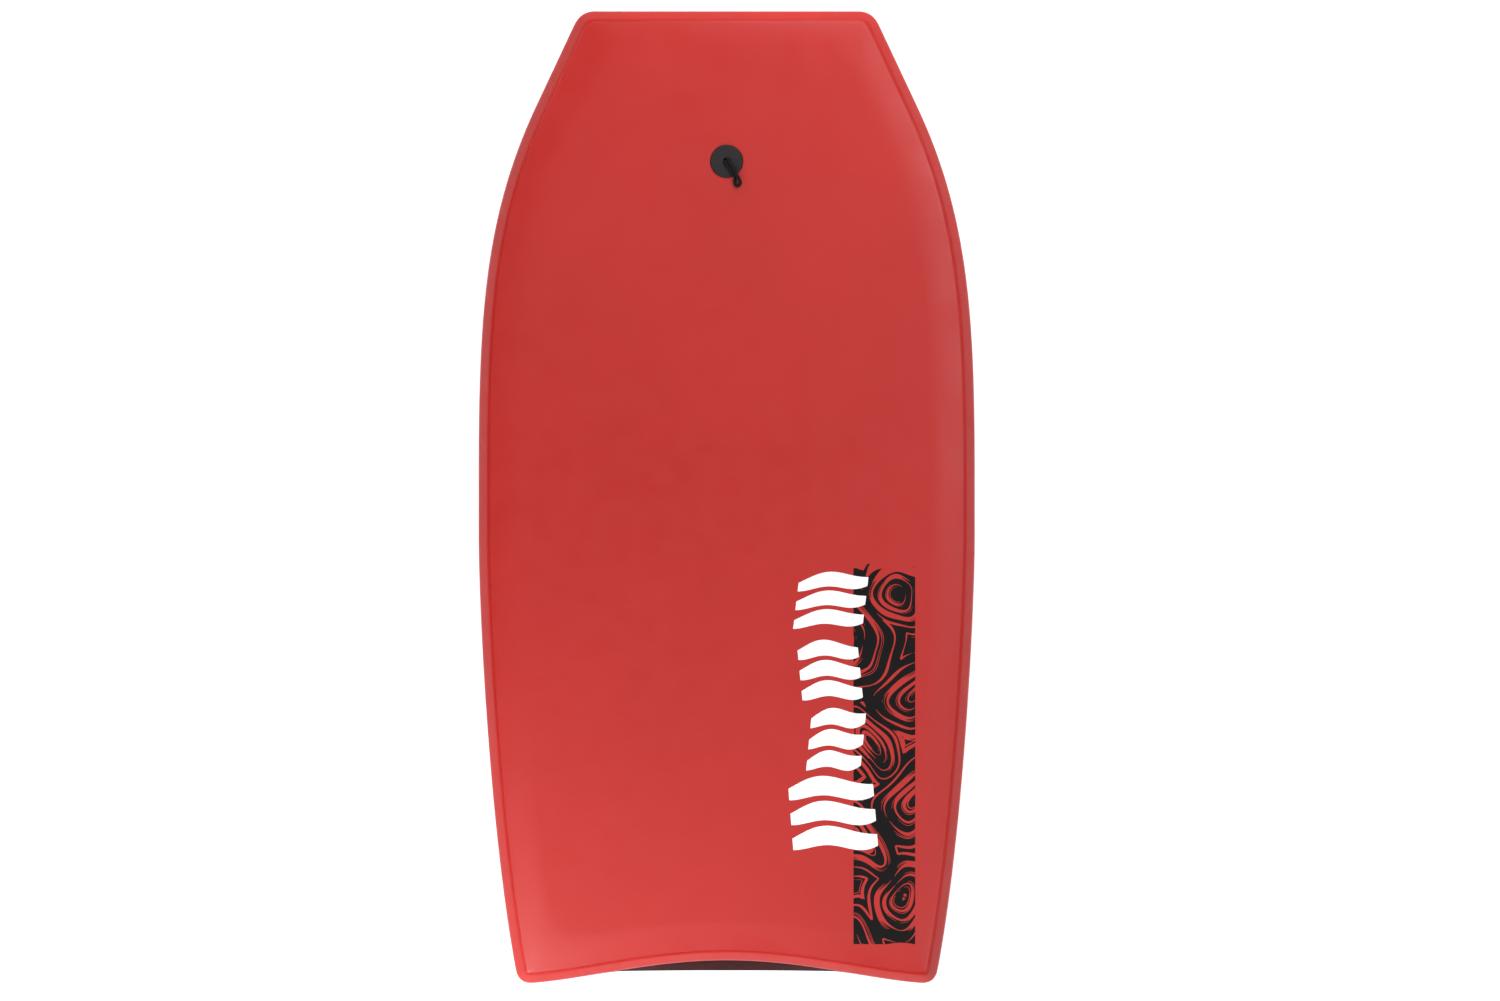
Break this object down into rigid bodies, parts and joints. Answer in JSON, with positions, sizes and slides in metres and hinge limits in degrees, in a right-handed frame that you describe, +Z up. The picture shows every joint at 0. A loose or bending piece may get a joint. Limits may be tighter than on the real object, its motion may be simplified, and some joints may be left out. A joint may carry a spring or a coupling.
{
  "type": "bodyboard",
  "caption": "Foam bodyboard with a crescent tail, chined rails, a slick bottom and a screw-together leash plug that holds a cord loop.",
  "frame": {"origin": "on the surface the board lies on, under the middle of its box", "axes": "+Y to the nose, +Z up out of the deck, +X to the right as seen from above with the nose up"},
  "size_m": [0.5334, 1.0413, 0.086],
  "materials": {
    "core_foam": "matte",
    "deck_foam": "satin",
    "rail_foam": "satin",
    "tail_foam": "matte",
    "slick_film": "gloss",
    "plug_plastic": "matte",
    "seal_rubber": "matte",
    "cord": "matte",
    "print_black": "satin",
    "print_white": "satin"
  },
  "bodies": {
    "board": {"core": "core_foam", "deck_skin": "deck_foam", "bottom_slick": "slick_film", "upper_rail_right": "rail_foam", "upper_rail_left": "rail_foam", "nose_bumper": "rail_foam", "tail_bumper": "rail_foam", "lower_rail_right": "rail_foam", "lower_rail_left": "rail_foam", "lower_nose_strip": "rail_foam", "lower_tail_strip": "tail_foam", "plug_bottom_half": "plug_plastic"},
    "seal": {"plug_seal": "seal_rubber"},
    "plug_cap": {"plug_deck_half": "plug_plastic"},
    "knot": {"leash_knot": "cord"},
    "loop": {"leash_loop": "cord"}
  },
  "joints": [
    {"name": "plug_lift", "type": "slide", "parent": "board", "child": "seal", "axis": [0, -0.1047, 0.9945], "range_m": [0, 0.012]},
    {"name": "plug_turn", "type": "hinge", "parent": "seal", "child": "plug_cap", "pos_m": [0, 0.36, 0.07495], "axis": [0, -0.1047, 0.9945], "range_deg": [0, 1440]},
    {"name": "loop_swivel", "type": "hinge", "parent": "plug_cap", "child": "knot", "pos_m": [0, 0.36, 0.07495], "axis": [0, -0.1047, 0.9945], "continuous": true},
    {"name": "loop_lift", "type": "hinge", "parent": "knot", "child": "loop", "pos_m": [0, 0.35959, 0.07883], "axis": [-0.809, -0.5846, -0.0615], "range_deg": [0, 90]}
  ],
  "couplings": [
    {"joint": "plug_lift", "follows": "plug_turn", "m_per_rad": 0.00047746}
  ]
}
